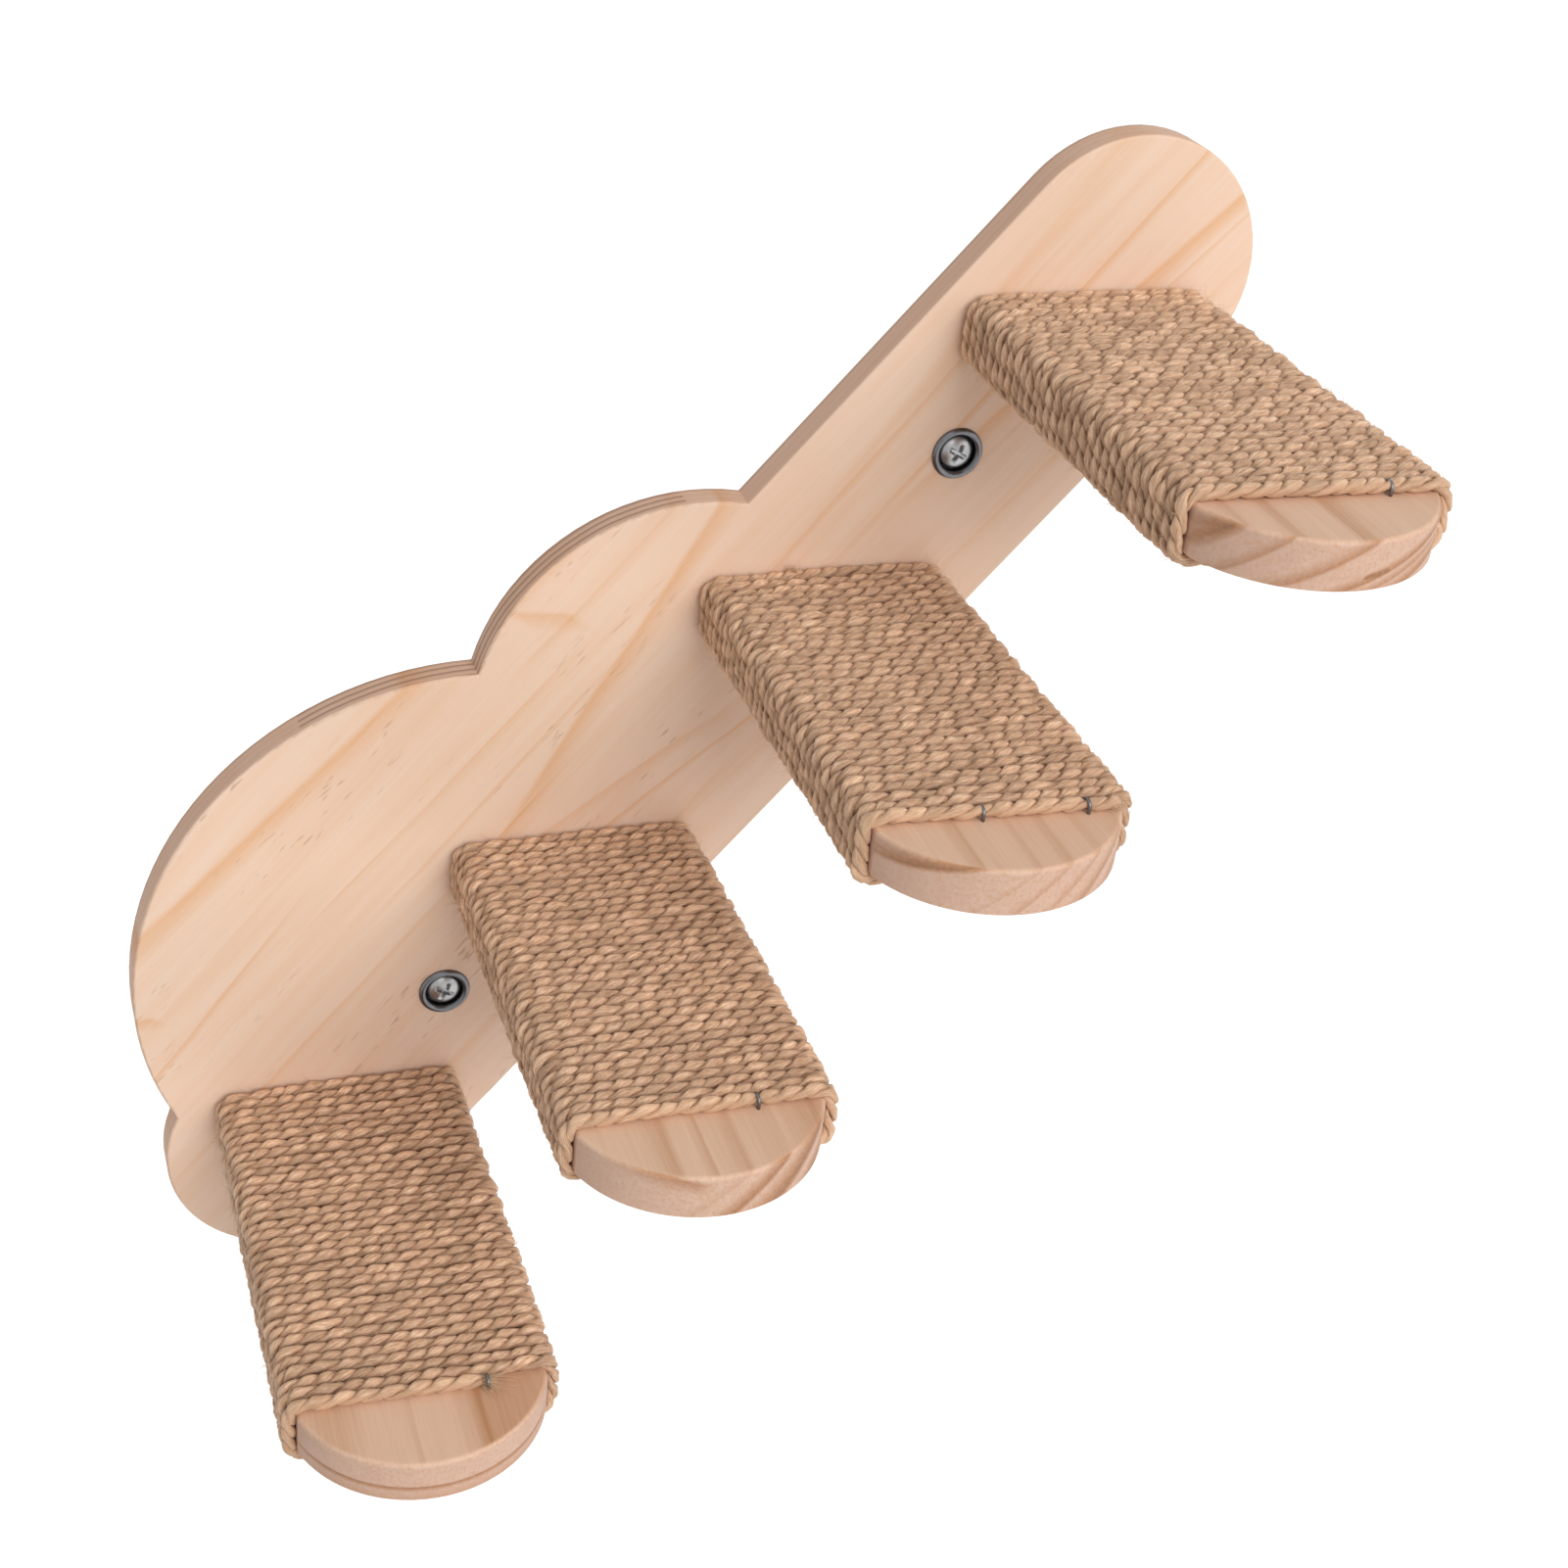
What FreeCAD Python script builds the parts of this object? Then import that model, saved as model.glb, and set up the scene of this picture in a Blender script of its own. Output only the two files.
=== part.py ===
import FreeCAD, Part
import math
import os

# Cat wall stair: a cloud-edged pine board that carries four rope-wound steps.
# Millimetres. The wall is the plane Y = 0, the steps reach out to -Y, Z is up and X is to the right.
# The origin lies on the board's back, midway between the two wall screws.

# counts and angles
step_count = 4
rope_loops = 24
rope_sides = 6
slope_degrees = 49.2
recess_arms = 2
quarter_turn = 90.0
half_turn = 180.0

# step boards
step_width = 85.0
step_thickness = 17.0
step_edge_round = 1.5
wrapped_length = 168.0
nose_depth = 30.0
step_spacing = 138.0

# back board
board_thickness = 12.0
board_edge_round = 1.0
bar_half_width = 50.0
bar_end_beyond = 25.0
large_lobe_radius = 127.5
large_lobe_along = -127.0
small_lobe_radius = 85.0
small_lobe_along = 6.0
small_lobe_aside = 7.0

# rope
rope_height = 5.0
rope_lift = 0.3
rope_shift_length = 70.0
rope_end_from_centre = 36.0
rope_start_from_centre = 36.0

# staples that hold the rope's ends
staple_wire = 0.8
staple_bite = 6.0
staple_room = 0.2
staple_lift = 0.1
top_staple_shares = ((0.25,), (0.22,), (-0.08, 0.34), (0.28,))
start_staple_shares = (0.25,)

# screws from the board's back into the steps
step_screw_radius = 2.0
step_screw_head_radius = 4.0
step_screw_length = 50.0
step_screw_point = 4.0
step_screw_spacing = 46.0
step_screw_sink = 0.4
step_screw_rim = 0.4
step_recess_width = 0.9
step_recess_length = 4.0
step_recess_depth = 1.6

# wall screws in their cup washers
wall_screw_beyond = 5.0
wall_screw_radius = 2.75
wall_neck_radius = 2.4
wall_neck_beyond = 1.0
wall_screw_length = 50.0
wall_screw_point = 5.0
pan_head_radius = 6.5
pan_head_height = 3.8
pan_head_edge = 1.6
wall_recess_width = 1.5
wall_recess_length = 6.6
wall_recess_depth = 2.2
cup_flange_radius = 10.0
cup_flange_rise = 1.4
cup_flange_round = 0.6
cup_body_radius = 8.2
cup_wall = 0.9
cup_depth = 3.5

# clearances and the overrun of every cut
hole_clearance = 0.15
staple_clearance = 0.1
cut_overrun = 1.0

# places worked out from the values above
slope = math.radians(slope_degrees)
along_x = math.cos(slope)
along_z = math.sin(slope)
board_front = -board_thickness
wrap_front = board_front - wrapped_length
step_top = step_thickness / 2
turn_gap = staple_wire + 2 * staple_room
rope_pitch = (wrapped_length - turn_gap) / rope_loops
rope_width = rope_pitch - turn_gap
first_turn = board_front - turn_gap - rope_width / 2
last_turn = first_turn - (rope_loops - 1) * rope_pitch
rope_half_width = step_width / 2 + rope_lift + rope_height / 2
rope_half_height = step_top + rope_lift + rope_height / 2
rope_bend = step_edge_round + rope_lift + rope_height / 2


def vector(x, y, z):
    return FreeCAD.Vector(x, y, z)


def line(start, end):
    return Part.LineSegment(start, end).toShape()


def arc(start, middle, end):
    return Part.Arc(start, middle, end).toShape()


def step_place(index):
    """Centre of a step's section on the wall plane, steps counted from the lowest."""
    along = (index - (step_count - 1) / 2) * step_spacing
    return vector(along * along_x, 0, along * along_z)


def wall_screw_places():
    """The wall screws sit a little outside the middle of the two lower and of the two upper steps."""
    beyond = vector(wall_screw_beyond * along_x, 0, wall_screw_beyond * along_z)
    lower = (step_place(0) + step_place(1)) / 2 - beyond
    upper = (step_place(step_count - 2) + step_place(step_count - 1)) / 2 + beyond
    return {"lower": lower, "upper": upper}


def step_screw_offsets():
    return (vector(-step_screw_spacing / 2, 0, 0), vector(step_screw_spacing / 2, 0, 0))


def turned(points):
    """Solid of revolution about Y from (radius, y) points."""
    corners = [vector(radius, y, 0) for radius, y in points]
    face = Part.Face(Part.makePolygon(corners + corners[:1]))
    return face.revolve(vector(0, 0, 0), vector(0, 1, 0), 2 * half_turn)


def cross_recess(width, length, depth, mouth):
    """Cross-shaped cutter that starts at the plane y = mouth and goes inwards along +Y or -Y."""
    arms = []
    for arm in range(recess_arms):
        box = Part.makeBox(length, abs(depth) + cut_overrun, width)
        start = mouth - cut_overrun if depth > 0 else mouth + depth
        box.translate(vector(-length / 2, start, -width / 2))
        box.rotate(vector(0, 0, 0), vector(0, 1, 0), arm * quarter_turn)
        arms.append(box)
    return arms[0].fuse(arms[1:])


# back board, drawn with its slope line along X and then turned to the slope
def eased(blank):
    """Rounds the outline of a blank's front face."""
    front = min(blank.Faces, key=lambda face: face.CenterOfMass.y)
    return blank.makeFillet(board_edge_round, front.OuterWire.Edges)


def disc(radius, along, aside):
    return Part.makeCylinder(radius, board_thickness, vector(along, board_front, aside), vector(0, 1, 0))


def lobe(radius, along, aside):
    """Part of an eased disc on the upper-left side of the slope line."""
    below = Part.makeBox(2 * radius, board_thickness, radius)
    below.translate(vector(along - radius, board_front, -radius))
    return eased(disc(radius, along, aside)).cut(below)


def bar():
    """Straight bar with round ends."""
    end = step_spacing * (step_count - 1) / 2 + bar_end_beyond
    middle = Part.makeBox(2 * end, board_thickness, 2 * bar_half_width)
    middle.translate(vector(-end, board_front, -bar_half_width))
    ends = [disc(bar_half_width, -end, 0), disc(bar_half_width, end, 0)]
    return eased(middle.fuse(ends).removeSplitter())


def board_blank():
    lobes = [
        lobe(large_lobe_radius, large_lobe_along, 0),
        lobe(small_lobe_radius, small_lobe_along, small_lobe_aside),
    ]
    blank = bar().fuse(lobes).removeSplitter()
    blank.rotate(vector(0, 0, 0), vector(0, 1, 0), -slope_degrees)
    return blank


def step_screw_cutter():
    """Shank hole with a countersink that opens at the board's back."""
    shank = step_screw_radius + hole_clearance
    head = step_screw_head_radius + hole_clearance
    floor = -step_screw_sink - step_screw_rim
    return turned((
        (0, cut_overrun),
        (head, cut_overrun),
        (head, floor),
        (shank, floor - (head - shank)),
        (shank, board_front - cut_overrun),
        (0, board_front - cut_overrun),
    ))


def wall_screw_cutter():
    """Shank hole with a seat for the cup washer that opens at the board's front."""
    shank = wall_screw_radius + hole_clearance
    seat = cup_body_radius + hole_clearance
    seat_floor = board_front + cup_depth + hole_clearance
    return turned((
        (0, board_front - cut_overrun),
        (seat, board_front - cut_overrun),
        (seat, seat_floor),
        (shank, seat_floor),
        (shank, cut_overrun),
        (0, cut_overrun),
    ))


def back_board():
    cutters = []
    for index in range(step_count):
        for offset in step_screw_offsets():
            cutters.append(step_screw_cutter().translated(step_place(index) + offset))
    for place in wall_screw_places().values():
        cutters.append(wall_screw_cutter().translated(place))
    return board_blank().cut(cutters)


# steps
def step_blank():
    half = step_width / 2
    left_back = vector(-half, board_front, -step_top)
    right_back = vector(half, board_front, -step_top)
    left_front = vector(-half, wrap_front, -step_top)
    right_front = vector(half, wrap_front, -step_top)
    nose = vector(0, wrap_front - nose_depth, -step_top)
    edges = [
        line(left_back, right_back),
        line(right_back, right_front),
        arc(right_front, nose, left_front),
        line(left_front, left_back),
    ]
    blank = Part.Face(Part.Wire(edges)).extrude(vector(0, 0, step_thickness))
    level = [edge for edge in blank.Edges if abs(abs(edge.CenterOfMass.z) - step_top) < step_edge_round]
    outline = [edge for edge in level if edge.CenterOfMass.y < board_front - step_edge_round]
    return blank.makeFillet(step_edge_round, outline)


def staple_leg_places(shares, turn):
    """Feet of the legs, on both sides of one turn of rope."""
    reach = rope_width / 2 + staple_room + staple_wire / 2
    return [(share * step_width, turn + side * reach) for share in shares for side in (-1, 1)]


def staple_slots(index):
    size = staple_wire + 2 * staple_clearance
    depth = staple_bite + staple_clearance
    slots = []
    for x, y in staple_leg_places(top_staple_shares[index], last_turn):
        corner = vector(x - size / 2, y - size / 2, step_top - depth)
        slots.append(Part.makeBox(size, size, depth + cut_overrun, corner))
    for x, y in staple_leg_places(start_staple_shares, first_turn):
        corner = vector(x - size / 2, y - size / 2, -step_top - cut_overrun)
        slots.append(Part.makeBox(size, size, depth + cut_overrun, corner))
    return slots


def screw_pilots():
    radius = step_screw_radius + hole_clearance
    length = step_screw_length - board_thickness + 2 * cut_overrun
    places = [offset + vector(0, board_front + cut_overrun, 0) for offset in step_screw_offsets()]
    return [Part.makeCylinder(radius, length, place, vector(0, -1, 0)) for place in places]


def step_board(index):
    return step_blank().cut(screw_pilots() + staple_slots(index)).translated(step_place(index))


# rope winding
def corner_edge(side, level, upwards):
    """Quarter bend round one long edge of a step, at y = 0."""
    centre_x = side * (rope_half_width - rope_bend)
    centre_z = level * (rope_half_height - rope_bend)
    lean = rope_bend * math.sin(math.radians(quarter_turn / 2))
    flat = vector(centre_x, 0, level * rope_half_height)
    upright = vector(side * rope_half_width, 0, centre_z)
    middle = vector(centre_x + side * lean, 0, centre_z + level * lean)
    return (flat, middle, upright) if upwards else (upright, middle, flat)


def over_the_top():
    """Corner points of one turn from the left of the underside, over the top, to the right of it."""
    return [
        corner_edge(-1, -1, True),
        corner_edge(-1, 1, False),
        corner_edge(1, 1, True),
        corner_edge(1, -1, False),
    ]


def shift_edges(turn):
    """Two arcs on the underside that carry the rope from one turn to the next."""
    half = rope_shift_length / 2
    radius = (rope_shift_length ** 2 + rope_pitch ** 2) / (4 * rope_pitch)
    lean = math.atan(rope_pitch / rope_shift_length)
    across = half - radius * math.sin(lean)
    sag = radius * (1 - math.cos(lean))
    level = -rope_half_height
    start = vector(half, turn, level)
    middle = vector(0, turn - rope_pitch / 2, level)
    end = vector(-half, turn - rope_pitch, level)
    first = arc(start, vector(across, turn - sag, level), middle)
    second = arc(middle, vector(-across, turn - rope_pitch + sag, level), end)
    return [first, second]


def turn_edges(turn, start, last):
    """Edges of one turn from a point on the underside; the last turn stops on the top."""
    edges = []
    here = start
    for bend in over_the_top()[:2]:
        first, middle, end = (point + vector(0, turn, 0) for point in bend)
        edges += [line(here, first), arc(first, middle, end)]
        here = end
    if last:
        edges.append(line(here, vector(rope_end_from_centre, turn, rope_half_height)))
        return edges, None
    for bend in over_the_top()[2:]:
        first, middle, end = (point + vector(0, turn, 0) for point in bend)
        edges += [line(here, first), arc(first, middle, end)]
        here = end
    shift = shift_edges(turn)
    edges += [line(here, vector(rope_shift_length / 2, turn, -rope_half_height))] + shift
    return edges, vector(-rope_shift_length / 2, turn - rope_pitch, -rope_half_height)


def rope_route():
    """One list of edges per turn, from the start near the wall to the end at the nose."""
    turns = []
    start = vector(rope_start_from_centre, first_turn, -rope_half_height)
    for number in range(rope_loops):
        edges, start = turn_edges(first_turn - number * rope_pitch, start, number == rope_loops - 1)
        turns.append(edges)
    return turns


def rope_section():
    """Flattened section of the rope, square to its start."""
    corners = []
    for side in range(rope_sides):
        angle = 2 * math.pi * side / rope_sides
        y = first_turn + rope_width / 2 * math.cos(angle)
        z = -rope_half_height + rope_height / 2 * math.sin(angle) / math.sin(math.pi * 2 / rope_sides)
        corners.append(vector(rope_start_from_centre, y, z))
    return Part.makePolygon(corners + corners[:1])


def least_gap(turns):
    """Smallest distance between neighbouring turns, less the rope's width, on points of its route."""
    samples = 12
    points = [[p for edge in edges for p in edge.discretize(samples)] for edges in turns]
    pairs = zip(points[:-1], points[1:])
    ends = samples * 2
    nearest = min((p - q).Length for one, two in pairs for p in one[:-ends] for q in two[ends:])
    return nearest - rope_width


def rope_winding():
    turns = rope_route()
    route = [edge for edges in turns for edge in edges]
    section = rope_section()
    shell = Part.BRepOffsetAPI.MakePipeShell(Part.Wire(route))
    shell.add(section)
    shell.build()
    shell.makeSolid()
    winding = shell.shape()
    length = sum(edge.Length for edge in route)
    swept = Part.Face(section).Area * length
    print("rope length", round(length), "least gap to itself", round(least_gap(turns), 2))
    print("rope volume", round(winding.Volume), "section times length", round(swept))
    return winding


# staples
def staple(x, turn, level):
    """Staple over one turn of rope; level is 1 on the top and -1 on the underside."""
    inner = rope_width / 2 + staple_room
    outer = inner + staple_wire
    crown = rope_half_height + rope_height / 2 + staple_lift
    foot = step_top - staple_bite
    profile = (
        (-outer, foot),
        (-outer, crown + staple_wire),
        (outer, crown + staple_wire),
        (outer, foot),
        (inner, foot),
        (inner, crown),
        (-inner, crown),
        (-inner, foot),
    )
    corners = [vector(x - staple_wire / 2, turn + y, level * z) for y, z in profile]
    face = Part.Face(Part.makePolygon(corners + corners[:1]))
    return face.extrude(vector(staple_wire, 0, 0))


def rope_staples(index):
    ends = [staple(share * step_width, last_turn, 1) for share in top_staple_shares[index]]
    starts = [staple(share * step_width, first_turn, -1) for share in start_staple_shares]
    return Part.makeCompound(ends + starts).translated(step_place(index))


# screws and washers
def step_screw():
    """Countersunk wood screw driven from the board's back."""
    top = -step_screw_sink
    neck = top - step_screw_rim - (step_screw_head_radius - step_screw_radius)
    tip = top - step_screw_length
    body = turned((
        (0, top),
        (step_screw_head_radius, top),
        (step_screw_head_radius, top - step_screw_rim),
        (step_screw_radius, neck),
        (step_screw_radius, tip + step_screw_point),
        (0, tip),
    ))
    return body.cut(cross_recess(step_recess_width, step_recess_length, -step_recess_depth, top))


def step_screws(index):
    pair = [step_screw().translated(offset) for offset in step_screw_offsets()]
    return Part.makeCompound(pair).translated(step_place(index))


def cup_washer():
    """Raised ring that sinks into the board as a cup and seats the screw's head."""
    face = board_front
    top = face - cup_flange_rise
    floor = face + cup_depth
    inner = cup_body_radius - cup_wall
    hole = wall_screw_radius + hole_clearance
    return turned((
        (cup_flange_radius, face),
        (cup_body_radius, face),
        (cup_body_radius, floor),
        (hole, floor),
        (hole, floor - cup_wall),
        (inner, floor - cup_wall),
        (inner, top + cup_flange_round),
        (inner + cup_flange_round, top),
        (cup_flange_radius - cup_flange_round, top),
        (cup_flange_radius, top + cup_flange_round),
    ))


def wall_screw():
    """Pan-head screw through the cup washer and the board; its wider thread starts behind the board."""
    seat = board_front + cup_depth - cup_wall
    top = seat - pan_head_height
    tip = seat + wall_screw_length
    edge = pan_head_radius - pan_head_edge
    body = turned((
        (0, top),
        (edge, top),
        (pan_head_radius, top + pan_head_edge),
        (pan_head_radius, seat),
        (wall_neck_radius, seat),
        (wall_neck_radius, wall_neck_beyond),
        (wall_screw_radius, wall_neck_beyond),
        (wall_screw_radius, tip - wall_screw_point),
        (0, tip),
    ))
    return body.cut(cross_recess(wall_recess_width, wall_recess_length, wall_recess_depth, top))


# all nodes
def all_nodes():
    nodes = {"back_board": back_board()}
    winding = rope_winding()
    for index in range(step_count):
        number = index + 1
        nodes[f"step_board_{number}"] = step_board(index)
        nodes[f"step_rope_{number}"] = winding.translated(step_place(index))
        nodes[f"rope_staples_{number}"] = rope_staples(index)
        nodes[f"step_screws_{number}"] = step_screws(index)
    for name, place in wall_screw_places().items():
        nodes[f"wall_screw_{name}"] = wall_screw().translated(place)
        nodes[f"cup_washer_{name}"] = cup_washer().translated(place)
    return nodes


os.makedirs("parts", exist_ok=True)
for name, shape in all_nodes().items():
    shape.exportStep(f"parts/{name}.step")
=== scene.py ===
import math
from collections import namedtuple

import bpy
import bmesh
import numpy as np
from mathutils import Matrix, Vector


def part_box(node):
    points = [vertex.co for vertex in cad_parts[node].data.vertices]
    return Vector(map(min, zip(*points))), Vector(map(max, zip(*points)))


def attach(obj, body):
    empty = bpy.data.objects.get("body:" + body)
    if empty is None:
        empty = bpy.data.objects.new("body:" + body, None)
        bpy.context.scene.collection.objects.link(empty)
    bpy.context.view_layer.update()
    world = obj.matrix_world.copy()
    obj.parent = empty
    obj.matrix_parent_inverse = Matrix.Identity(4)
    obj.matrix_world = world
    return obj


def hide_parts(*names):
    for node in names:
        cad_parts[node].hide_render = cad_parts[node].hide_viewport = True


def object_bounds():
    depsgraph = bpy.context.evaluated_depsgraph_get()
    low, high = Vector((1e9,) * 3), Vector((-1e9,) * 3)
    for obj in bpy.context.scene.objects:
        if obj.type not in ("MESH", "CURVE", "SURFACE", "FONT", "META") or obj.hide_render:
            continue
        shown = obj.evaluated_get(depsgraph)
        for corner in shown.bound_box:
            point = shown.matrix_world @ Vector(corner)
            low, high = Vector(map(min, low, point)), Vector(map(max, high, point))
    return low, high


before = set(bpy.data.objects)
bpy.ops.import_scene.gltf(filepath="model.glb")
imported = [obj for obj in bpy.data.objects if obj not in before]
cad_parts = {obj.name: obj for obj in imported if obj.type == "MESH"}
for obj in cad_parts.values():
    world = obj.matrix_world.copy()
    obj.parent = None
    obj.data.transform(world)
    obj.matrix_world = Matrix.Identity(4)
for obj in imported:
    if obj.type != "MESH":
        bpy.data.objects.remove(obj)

cad_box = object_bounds()

# Sizes are in metres and places in the frame's axes. What isn't named here is read from the frame.
step_numbers = (1, 2, 3, 4)
screw_names = ("lower", "upper")
slope = math.radians(49.2)

# path of the rope: a turn slants by its lead across the top, in full after some turns; the end's reach
# is its x from the step's middle, and past the step's side it ends below
rope_turns = {1: 34, 2: 34, 3: 32, 4: 31}
rope_radius = 0.0025
rope_lead = {1: 0.0055, 2: 0.003, 3: 0.006, 4: 0.0045}
rope_settles = 10
rope_end_reach = {1: 0.022, 2: 0.052, 3: 0.039, 4: 0.052}
rope_end_dip = 0.1 * rope_radius
rope_end_tuck = 0.2 * rope_radius
rope_bend = 0.006
rope_wobble = 0.00034
rope_smoothness = 10
top_shares = (-1.0, -0.6, -0.2, 0.2, 0.6, 1.0)
under_shares = (1.0, 0.5, 0.0, -0.5, -1.0)

# strands: how far their middles swing from the rope's line, their half sizes, and the share that
# they are wider by where they lie on top
strand_count = 2
strand_lay = 0.0148
strand_rise = 0.00120
strand_swing = 0.00098
strand_high = 0.00128
strand_wide = 0.00186
strand_bead = 0.22
strand_sides = 8
strand_step = 0.00122

# unevenness of the rope: shares, and wavelengths along its run
grain_shift = 0.06
grain_wander = 0.38
grain_waves = (0.045, 0.012)
quick_share = 0.7
girth_uneven = 0.07
girth_wave = 0.02
strand_uneven = 0.22
middle_wave = 0.006
width_wave = 0.0055
height_wave = 0.0045

# fibres in the strands' skin, and the paler last turn
fibre_skew = 300.0
fibre_density = 280.0
fibre_ring = 3.0
strands_apart = 7.0
gold_length = 0.13
gold_fade = 0.02

# loose fibres, and tufts at the rope's end and next to the board
hair_points = 6
hair_sides = 3
hair_bend = 0.35
hair_taper = 0.6
fuzz_count = 3600
fuzz_margin = 20
fuzz_radius = 0.000055
fuzz_shortest = 0.0015
fuzz_longest = 0.006
fuzz_depth = 0.85
fuzz_aside = 0.5
fuzz_lift = (0.15, 0.7)
tuft_count = 140
tuft_longest = {1: 0.014, 3: 0.007}
tuft_radius = 1.6 * fuzz_radius
tuft_spread = (0.3, 0.5, 0.3)
tuft_fall = (0.0, 0.0, -0.15)
wall_tufts = {3: -0.0115}
wall_tuft_count = 70
wall_tuft_longest = 0.006
wall_tuft_way = (-0.3, -0.1, 0.8)

# late wood on the board: place along and across the slope, lean, width, strength, reach
board_streaks = (
    (0.030, 0.0497, 0.196, 0.0075, 0.95, 0.13),
    (0.030, 0.0718, 0.000, 0.0045, 0.50, 0.06),
    (0.221, 0.0098, 0.025, 0.0030, 0.90, 0.16),
    (0.236, -0.0084, -0.10, 0.0065, 1.00, 0.14),
    (0.236, -0.0165, -0.08, 0.0020, 0.60, 0.12),
    (0.199, 0.0344, 0.076, 0.0110, 0.40, 0.14),
    (0.225, -0.0320, -0.04, 0.0060, 0.30, 0.14),
    (-0.120, 0.1065, -0.080, 0.0085, 1.00, 0.17),
    (-0.150, 0.0850, 0.02, 0.0040, 0.25, 0.12),
    (-0.229, 0.0680, 0.075, 0.0025, 0.80, 0.10),
    (-0.066, 0.0457, 0.0, 0.0022, 0.60, 0.08),
    (-0.075, 0.0620, -0.03, 0.0030, 0.55, 0.09),
    (-0.005, -0.0100, -0.178, 0.0024, 0.90, 0.08),
    (-0.033, 0.0078, -0.25, 0.0050, 0.65, 0.06),
    (-0.150, 0.0300, 0.0, 0.0030, 0.60, 0.14),
    (-0.140, -0.0250, 0.02, 0.0050, 0.50, 0.20),
    (0.090, -0.0300, -0.03, 0.0040, 0.45, 0.14),
    (0.110, 0.0250, 0.03, 0.0030, 0.50, 0.12),
)
# tips of flamed grain: place along and across, the two shares of the slanting edge, width, strength, reach
board_flames = (
    (0.0012, 0.0806, 0.80, 0.60, 0.0075, 0.75, 0.0080),
    (-0.2167, 0.0895, 0.60, 0.80, 0.0060, 0.90, 0.0060),
)
# late wood on the steps: x, height as a share of the half thickness, shares of x and z in the offset,
# width, strength on faces and on the end, reach
step_streaks = {
    1: ((0.0175, 1.0, 1.0, 3.0, 0.0045, 0.60, 0.0, 1.0), (0.0220, 1.0, -1.0, 0.0, 0.0500, 0.75, 0.0, 1.0),
        (-0.030, 1.0, 1.0, 3.0, 0.0300, 0.45, 0.0, 1.0), (0.0, -0.22, 0.0, -1.0, 0.0020, 0.0, 1.4, 1.0),
        (-0.006, 1.0, 1.0, 4.0, 0.0030, 0.25, 0.0, 1.0), (0.0, -1.0, 0.0, 1.0, 0.0065, 0.0, 0.55, 1.0)),
    2: ((-0.0155, 1.0, 1.0, -0.4, 0.0085, 0.60, 0.0, 1.0), (-0.004, 1.0, 1.0, -0.3, 0.0035, 0.50, 0.0, 1.0),
        (-0.022, 1.0, 1.0, -4.5, 0.0250, 0.0, 0.95, 0.018), (0.007, 1.0, 1.0, 1.2, 0.0055, 0.45, 0.30, 1.0),
        (0.021, 1.0, 1.0, 1.2, 0.0085, 0.20, 1.4, 1.0), (0.037, 1.0, 1.0, 1.2, 0.0140, 0.60, 1.6, 1.0),
        (0.052, 1.0, 1.0, 1.2, 0.0085, 0.30, 1.4, 1.0)),
    3: ((-0.017, 1.0, 1.0, 6.0, 0.0055, 0.45, 0.0, 1.0), (-0.019, 1.0, 1.0, 3.6, 0.0220, 0.0, 1.5, 1.0),
        (0.001, 1.0, 1.0, 1.2, 0.0030, 0.25, 0.30, 1.0), (0.012, 1.0, 1.0, 1.1, 0.0040, 0.45, 0.50, 1.0),
        (0.024, 1.0, 1.0, 1.1, 0.0045, 0.20, 0.55, 1.0), (0.036, 1.0, 1.0, 1.1, 0.0070, 0.25, 0.90, 1.0),
        (0.048, 1.0, 1.0, 1.1, 0.0070, 0.20, 0.85, 1.0)),
    4: ((-0.033, 1.0, 1.0, 2.1, 0.0060, 0.35, 0.0, 1.0), (-0.0355, 1.0, 1.0, 0.73, 0.0110, 0.0, 1.6, 1.0),
        (-0.0195, 1.0, 1.0, 2.1, 0.0055, 0.55, 0.0, 1.0), (-0.0220, 1.0, 1.0, 0.95, 0.0040, 0.0, 0.80, 1.0),
        (-0.001, 1.0, -1.0, 0.0, 0.0100, 0.65, 0.0, 1.0), (0.004, 1.0, 1.0, 1.7, 0.0080, 0.0, 1.0, 1.0),
        (0.040, 1.0, 1.0, 2.8, 0.0090, 0.25, 1.3, 1.0), (0.050, 1.0, 1.0, 2.8, 0.0080, 0.0, 0.90, 1.0),
        (0.062, 1.0, 1.0, 2.8, 0.0110, 0.0, 1.3, 1.0), (0.005, -0.38, 0.4, 2.2, 0.0040, 0.0, 1.8, 0.005)),
}

# finer marks of the wood: how much each noise is drawn out along the grain, and its scale
Tones = namedtuple("Tones", "pale dark dash edge")
board_tones = Tones((0.87, 0.655, 0.505), (0.80, 0.475, 0.27), (0.48, 0.27, 0.155), (0.93, 0.83, 0.79))
step_tones = Tones((0.87, 0.60, 0.425), (0.56, 0.28, 0.14), (0.36, 0.18, 0.09), (0.78, 0.78, 0.84))
pink_tint = (0.98, 0.95, 0.96)
layer_tone = (0.27, 0.14, 0.085)
board_bands = 0.32
step_bands = 0.15
step_seed = 0.73
grain_sway = 0.0016
fibre_draw, fibre_scale = 0.03, 800.0
band_draw, band_scale = 0.06, 150.0
dash_draw, dash_scale, dash_patch_scale = 0.17, 620.0, 40.0
cloud_scale = 10.0
speck_scale = 750.0
dash_end = 0.06
dash_fade = 0.02

# yearly rings on the board's edge: their spacing, and the joint and place between which they are strong
ring_spacing = 0.0037
edge_joint = 0.065
edge_layers_end = -0.085
joint_width = 0.0006
strong_ring = 0.85
faint_ring = 0.12

# jute: colours of the fibres from dark to pale, of patches, of the last turn and of loose fibres
fibre_stops = ((0.30, (0.42, 0.228, 0.120)), (0.5, (0.67, 0.41, 0.252)), (0.70, (0.92, 0.65, 0.445)))
patch_tone = (0.56, 0.338, 0.205)
gold_tone = (0.86, 0.56, 0.35)
# loose fibres are painted paler than the rope's own fibres, as painted light that makes up for the shade
# dense tufts cast on themselves
painted_light_fuzz_stops = ((0.35, (0.57, 0.37, 0.22)), (0.65, (0.86, 0.62, 0.41)))

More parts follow.
